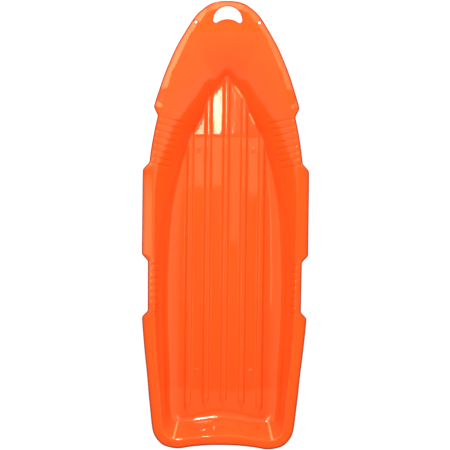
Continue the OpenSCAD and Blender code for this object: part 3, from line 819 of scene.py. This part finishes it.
def vertex_normals(points):
    a, b, c = points[TRIS[:, 0]], points[TRIS[:, 1]], points[TRIS[:, 2]]
    n = np.cross(b - a, c - a)
    ln = np.linalg.norm(n, axis=1, keepdims=True)
    n = n / np.maximum(ln, 1e-12)
    out = np.zeros_like(points)
    for p, q, r, col in ((a, b, c, 0), (b, c, a, 1), (c, a, b, 2)):
        u, v = q - p, r - p
        u = u / np.maximum(np.linalg.norm(u, axis=1, keepdims=True), 1e-12)
        v = v / np.maximum(np.linalg.norm(v, axis=1, keepdims=True), 1e-12)
        ang = np.arccos(np.clip((u * v).sum(1), -1, 1))
        np.add.at(out, TRIS[:, col], n * ang[:, None])
    return out / np.maximum(np.linalg.norm(out, axis=1, keepdims=True), 1e-12)


NT_TOP = vertex_normals(V)
# exact normals on the floor's own points
fl = np.arange(first_floor, last_floor)
h = 0.35
x, y = V[fl, 0], V[fl, 1]
gxn = (floor_z(x + h, y) - floor_z(x - h, y)) / (2 * h)
gyn = (floor_z(x, y + h) - floor_z(x, y - h)) / (2 * h)
nn = np.stack([-gxn, -gyn, np.ones_like(gxn)], 1)
NT_TOP[fl] = nn / np.linalg.norm(nn, axis=1, keepdims=True)

# the underside: straight down below the floor, square to the surface elsewhere
push = np.zeros(len(V))
push[fl] = 1.0
for r in range(NU + 10):
    run = rows_s[:, r] - S_E
    share = 1 - smooth(run / 9.0)
    for ci, (i, s) in enumerate(cols):
        push[wall_id[ci, r]] = share[i]
down = np.array([0, 0, 1.0])[None, :] * push[:, None] + NT_TOP * (1 - push)[:, None]
down = down / np.maximum(np.linalg.norm(down, axis=1, keepdims=True), 1e-9)
BOT = V - down * WALL
BOT[:, 2] = np.maximum(BOT[:, 2], 0.0)
NB = -vertex_normals(BOT)


# ------------------------------------------------------------------ pieces
def directed_edges(faces):
    for f in faces:
        for a, b in zip(f, f[1:] + f[:1]):
            yield a, b


all_edges = {}
for fi, f in enumerate(FACES):
    for a, b in zip(f, f[1:] + f[:1]):
        all_edges[(a, b)] = fi
open_edges = [(a, b) for (a, b) in all_edges if (b, a) not in all_edges]
# outward direction, in the sheet, at each vertex on an open edge
OUT_DIR = {}
for a, b in open_edges:
    e = V[b] - V[a]
    for v in (a, b):
        n = V[v] - BOT[v]
        o = np.cross(e, n)
        o = o / max(np.linalg.norm(o), 1e-9)
        OUT_DIR[v] = OUT_DIR.get(v, 0) + o
OUT_DIR = {v: o / np.linalg.norm(o) for v, o in OUT_DIR.items()}
open_set = set(open_edges)
SEG = 6
MM = 0.001


def build_piece(name, faces):
    ids = sorted({v for f in faces for v in f})
    loc = {v: j for j, v in enumerate(ids)}
    n0 = len(ids)
    co = np.vstack([V[ids], BOT[ids]])
    tone = np.concatenate([PAINTED_SHADE[ids], PAINTED_SHADE[ids] * 0.0])
    pale = np.concatenate([PAINTED_HIGHLIGHT[ids], PAINTED_HIGHLIGHT[ids] * 0.4])
    verts, tones = [co], [tone]
    polys, norms = [], []
    for f in faces:
        polys.append([loc[v] for v in f])
        norms.append([NT_TOP[v] for v in f])
        polys.append([n0 + loc[v] for v in reversed(f)])
        norms.append([NB[v] for v in reversed(f)])
    have = set(directed_edges(faces))
    rims = {}
    count = 2 * n0
    extra, extra_tone = [], []

    def rim_ring(v):
        nonlocal count
        if v in rims:
            return rims[v]
        mid, half = (V[v] + BOT[v]) / 2, (V[v] - BOT[v]) / 2
        o = OUT_DIR[v]
        r = np.linalg.norm(half)
        hn = half / r
        ring = [(loc[v], hn)]
        for j in range(1, SEG):
            a = math.pi * j / SEG
            d = hn * math.cos(a) + o * math.sin(a)
            extra.append(mid + r * d)
            # the painted shade fades round the rounded bead at an open edge
            extra_tone.append(PAINTED_SHADE[v] * (1.0, 1.0, 0.8, 0.35, 0.1)[j - 1])
            ring.append((count, d))
            count += 1
        ring.append((n0 + loc[v], -hn))
        rims[v] = ring
        return ring

    for a, b in [e for e in have if (e[1], e[0]) not in have]:
        if (a, b) in open_set:
            ra, rb = rim_ring(a), rim_ring(b)
            for j in range(SEG):
                quad = [ra[j], ra[j + 1], rb[j + 1], rb[j]]
                polys.append([q[0] for q in quad])
                norms.append([q[1] for q in quad])
        else:
            quad = [loc[b], loc[a], n0 + loc[a], n0 + loc[b]]
            polys.append(quad)
            norms.append(None)
    # the bead at an open edge is closed off where the piece ends
    border = [e for e in have if (e[1], e[0]) not in have and e not in open_set]
    ends = {}
    for a, b in border:
        for v in (a, b):
            if v in rims:
                ends[v] = (a, b)
    for v, (a, b) in ends.items():
        ring = [q[0] for q in rims[v]]
        polys.append(ring if b == v else ring[::-1])
        norms.append(None)
    if extra:
        verts.append(np.array(extra))
        tones.append(np.array(extra_tone))
    co = np.vstack(verts)
    tone = np.concatenate(tones)
    for j, nm in enumerate(norms):
        if nm is None:
            p = polys[j]
            n = np.zeros(3)
            for q in range(1, len(p) - 1):
                n += np.cross(co[p[q]] - co[p[0]], co[p[q + 1]] - co[p[0]])
            ln = np.linalg.norm(n)
            norms[j] = [n / ln if ln > 1e-12 else np.array([0, 0, 1.0])] * len(p)
    mesh = bpy.data.meshes.new(name)
    mesh.from_pydata((co * MM).tolist(), [], polys)
    mesh.polygons.foreach_set("use_smooth", np.ones(len(polys), bool))
    mesh.update()
    flat = np.array([c for nm in norms for c in nm])
    mesh.normals_split_custom_set(flat.tolist())
    # painted shade, mixed into the colour by the material
    at = mesh.attributes.new("painted_shade", "FLOAT", "POINT")
    at.data.foreach_set("value", tone.astype(np.float32))
    at = mesh.attributes.new("painted_highlight_line", "FLOAT", "POINT")
    at.data.foreach_set("value", np.concatenate([pale, np.zeros(len(tone) - len(pale))]).astype(np.float32))
    ob = bpy.data.objects.new(name, mesh)
    scene.collection.objects.link(ob)
    return ob


# ------------------------------------------------------------------ moulded plastic
def plastic():
    m = bpy.data.materials.new("moulded_orange_polyethylene")
    m.use_nodes = True
    nt = m.node_tree
    nt.nodes.clear()
    N, L = nt.nodes.new, nt.links.new
    out = N("ShaderNodeOutputMaterial")
    bsdf = N("ShaderNodeBsdfPrincipled")
    L(bsdf.outputs[0], out.inputs[0])
    tc = N("ShaderNodeTexCoord")

    def noise(scale, detail=2.0, rough=0.5, stretch=None, dist=0.0):
        n = N("ShaderNodeTexNoise")
        n.inputs["Scale"].default_value = scale
        n.inputs["Detail"].default_value = detail
        n.inputs["Roughness"].default_value = rough
        n.inputs["Distortion"].default_value = dist
        if stretch:
            mp = N("ShaderNodeMapping")
            mp.inputs["Scale"].default_value = stretch
            L(tc.outputs["Object"], mp.inputs["Vector"])
            L(mp.outputs[0], n.inputs["Vector"])
        else:
            L(tc.outputs["Object"], n.inputs["Vector"])
        return n.outputs["Fac"]

    def curve(src, a, b, lo, hi):
        r = N("ShaderNodeMapRange")
        r.inputs["From Min"].default_value = a
        r.inputs["From Max"].default_value = b
        r.inputs["To Min"].default_value = lo
        r.inputs["To Max"].default_value = hi
        L(src, r.inputs["Value"])
        return r.outputs[0]

    def mix(fac, a, b):
        x = N("ShaderNodeMix")
        x.data_type = "RGBA"
        for sock, val in ((x.inputs[0], fac), (x.inputs[6], a), (x.inputs[7], b)):
            if hasattr(val, "links"):
                L(val, sock)
            else:
                sock.default_value = val
        return x.outputs[2]

    def math_node(op, a, b):
        x = N("ShaderNodeMath")
        x.operation = op
        for sock, val in ((x.inputs[0], a), (x.inputs[1], b)):
            if hasattr(val, "links"):
                L(val, sock)
            else:
                sock.default_value = val
        return x.outputs[0]

    # colour: one masterbatch with faint flow clouds; painted shade, broken up a little, darkens the rim's outer edge,
    # the slot and tow-hole edges and the flute valleys
    cloud = noise(7.0, 3.0, 0.55, stretch=(1.0, 0.45, 1.0))
    streak = noise(38.0, 2.0, 0.6, stretch=(1.0, 0.12, 1.0))
    base = mix(curve(cloud, 0.3, 0.7, 0.0, 1.0), (0.82, 0.0775, 0.0140, 1), (0.84, 0.0855, 0.0160, 1))
    base = mix(curve(streak, 0.45, 0.8, 0.0, 0.22), base, (0.85, 0.093, 0.0190, 1))
    tone = N("ShaderNodeAttribute")
    tone.attribute_name = "painted_shade"
    shade_break = noise(120.0, 2.0, 0.6)
    edge = math_node("MULTIPLY", tone.outputs["Fac"], curve(shade_break, 0.25, 0.75, 0.72, 0.97))
    base = mix(edge, base, (0.15, 0.030, 0.011, 1))
    # painted highlight: pale lines mixed into the colour where glints would fall on the creases
    pale = N("ShaderNodeAttribute")
    pale.attribute_name = "painted_highlight_line"
    broken = noise(90.0, 2.0, 0.6)
    base = mix(math_node("MULTIPLY", pale.outputs["Fac"], curve(broken, 0.3, 0.6, 0.35, 0.85)), base, (0.86, 0.47, 0.27, 1))
    L(base, bsdf.inputs["Base Color"])
    # gloss: polished mould face with duller patches and hairline rubs
    dull = noise(16.0, 4.0, 0.6)
    rubs = noise(260.0, 1.0, 0.5, stretch=(1.0, 0.03, 1.0))
    rough = curve(dull, 0.3, 0.75, 0.036, 0.056)
    rough = math_node("ADD", rough, curve(rubs, 0.62, 0.8, 0.0, 0.07))
    rough = math_node("ADD", rough, math_node("MULTIPLY", tone.outputs["Fac"], 0.12))
    L(rough, bsdf.inputs["Roughness"])
    bsdf.inputs["IOR"].default_value = 1.50
    L(curve(tone.outputs["Fac"], 0.0, 1.0, 0.5, 0.1), bsdf.inputs["Specular IOR Level"])
    # surface: sink and draw ripples of a thin sheet, then a fine orange peel, then hairlines
    ripple = noise(15.0, 2.0, 0.45, stretch=(1.0, 0.5, 1.0), dist=0.3)
    b1 = N("ShaderNodeBump")
    b1.inputs["Strength"].default_value = 1.0
    b1.inputs["Distance"].default_value = 0.00030
    L(ripple, b1.inputs["Height"])
    drawn = noise(46.0, 3.0, 0.6, stretch=(1.0, 0.2, 1.0), dist=0.4)
    b0 = N("ShaderNodeBump")
    b0.inputs["Strength"].default_value = 1.0
    b0.inputs["Distance"].default_value = 0.00010
    L(drawn, b0.inputs["Height"])
    L(b0.outputs[0], b1.inputs["Normal"])
    peel = noise(420.0, 2.0, 0.5)
    b2 = N("ShaderNodeBump")
    b2.inputs["Strength"].default_value = 0.5
    b2.inputs["Distance"].default_value = 0.00002
    L(peel, b2.inputs["Height"])
    L(b1.outputs[0], b2.inputs["Normal"])
    b3 = N("ShaderNodeBump")
    b3.inputs["Strength"].default_value = 0.35
    b3.inputs["Distance"].default_value = 0.00002
    L(rubs, b3.inputs["Height"])
    L(b2.outputs[0], b3.inputs["Normal"])
    L(b3.outputs[0], bsdf.inputs["Normal"])
    return m


MAT = plastic()
groups = {}
for f, r in zip(FACES, REGION):
    groups.setdefault(str(r), []).append(f)
for name in sorted(groups):
    ob = build_piece(name + "_skin", groups[name])
    ob.data.materials.append(MAT)
    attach(ob, "root")
    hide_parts(name)

# ------------------------------------------------------------------ floor of the studio
bpy.ops.mesh.primitive_plane_add(size=300, location=(0, 0, -0.0004))
ground = bpy.context.object
ground.name = "studio_floor"
gm = bpy.data.materials.new("pale_floor")
gm.use_nodes = True
gb = gm.node_tree.nodes["Principled BSDF"]
gb.inputs["Base Color"].default_value = (0.16, 0.16, 0.16, 1)
gb.inputs["Roughness"].default_value = 0.9
gb.inputs["Specular IOR Level"].default_value = 0.0
gb.inputs["Emission Color"].default_value = (0.86, 0.90, 0.98, 1)
gb.inputs["Emission Strength"].default_value = 1.0
ground.data.materials.append(gm)

# ------------------------------------------------------------------ light
scene.view_settings.view_transform = "Standard"
scene.view_settings.look = "None"
WARM = (1.0, 0.80, 0.42)
world = bpy.data.worlds.new("studio")
scene.world = world
world.use_nodes = True
wn = world.node_tree
wn.nodes.clear()
bg = wn.nodes.new("ShaderNodeBackground")
wo = wn.nodes.new("ShaderNodeOutputWorld")
wn.links.new(bg.outputs[0], wo.inputs[0])
wtc = wn.nodes.new("ShaderNodeTexCoord")
sep = wn.nodes.new("ShaderNodeSeparateXYZ")
wn.links.new(wtc.outputs["Generated"], sep.inputs[0])
rampn = wn.nodes.new("ShaderNodeValToRGB")
wn.links.new(sep.outputs["Z"], rampn.inputs[0])
el = rampn.color_ramp.elements
el[0].position, el[0].color = 0.0, (0.80, 0.64, 0.336, 1)
el[1].position, el[1].color = 1.0, (0.24, 0.192, 0.10, 1)
for pos, v in ((0.17, 1.6), (0.30, 1.50), (0.50, 1.22), (0.75, 1.03), (0.90, 0.95), (0.955, 0.68), (0.978, 0.27)):
    e = rampn.color_ramp.elements.new(pos)
    e.color = (v * WARM[0], v * WARM[1], v * WARM[2], 1)
wn.links.new(rampn.outputs[0], bg.inputs["Color"])
# a little stronger from the right and from the bow
tilt = wn.nodes.new("ShaderNodeMath")
tilt.operation = "MULTIPLY_ADD"
wn.links.new(sep.outputs["X"], tilt.inputs[0])
tilt.inputs[1].default_value = 0.20
tilt.inputs[2].default_value = 1.06
tilt2 = wn.nodes.new("ShaderNodeMath")
tilt2.operation = "MULTIPLY_ADD"
wn.links.new(sep.outputs["Y"], tilt2.inputs[0])
tilt2.inputs[1].default_value = 0.30
wn.links.new(tilt.outputs[0], tilt2.inputs[2])
wn.links.new(tilt2.outputs[0], bg.inputs["Strength"])


def softbox(name, x0, x1, y0, y1, z, radiance, colour=WARM, aim=None, spread=None):
    """A rectangular lamp at height z over x0..x1, y0..y1, of a given radiance."""
    w, d = x1 - x0, y1 - y0
    lamp = bpy.data.lights.new(name, "AREA")
    lamp.shape = "RECTANGLE"
    lamp.size, lamp.size_y = w, d
    lamp.energy = radiance * math.pi * w * d
    lamp.color = colour
    if spread:
        lamp.spread = math.radians(spread)
    o = bpy.data.objects.new(name, lamp)
    scene.collection.objects.link(o)
    o.location = ((x0 + x1) / 2, (y0 + y1) / 2, z)
    if aim:
        v = Vector(aim) - o.location
        o.rotation_euler = v.to_track_quat("-Z", "Y").to_euler()
    o.visible_camera = False
    return o


softbox("left_bow_softbox", -1.02, -0.34, 0.24, 1.15, 2.0, 6.8)
softbox("right_bow_softbox", 0.34, 0.95, 0.24, 1.10, 2.0, 2.9)
# lamps with narrow beams, each aimed at one stretch of the sled
softbox("left_lamp", -0.86, -0.44, -0.30, 0.24, 2.0, 0.0225, aim=(-0.21, -0.02, 0.09), spread=15)
softbox("front_lamp", -0.32, 0.32, 0.84, 1.24, 2.0, 0.105, aim=(0.0, 0.60, 0.12), spread=26)
softbox("bow_lamp", -0.30, 0.0, 0.118, 0.30, 2.0, 0.0135, spread=16)
softbox("bow_lamp_right", 0.0, 0.055, -0.045, 0.30, 2.0, 0.0082, spread=16)
softbox("bow_lamp_far", 0.055, 0.30, 0.088, 0.30, 2.0, 0.0125, spread=16)
softbox("stern_lamp", -0.30, 0.30, -0.98, -0.60, 2.0, 0.0135, spread=16)
softbox("nose_softbox", -0.30, 0.30, 0.50, 0.74, 2.0, 0.15)
# long narrow tubes fore and aft, a little left of the middle
TUBE = (1.0, 0.91, 0.62)
softbox("tube_aft", -0.044, -0.010, -0.72, -0.53, 2.0, 0.092, TUBE, aim=(-0.024, 0.31, 0.0), spread=9)
softbox("tube_aft_side", -0.095, -0.058, -0.72, -0.53, 2.0, 0.075, TUBE, aim=(-0.076, 0.27, 0.0), spread=12)
softbox("tube_fore", -0.40, -0.20, 1.40, 2.60, 2.0, 75.0, TUBE, aim=(-0.03, -0.5, 0.0))

# ------------------------------------------------------------------ end
bpy.context.view_layer.update()
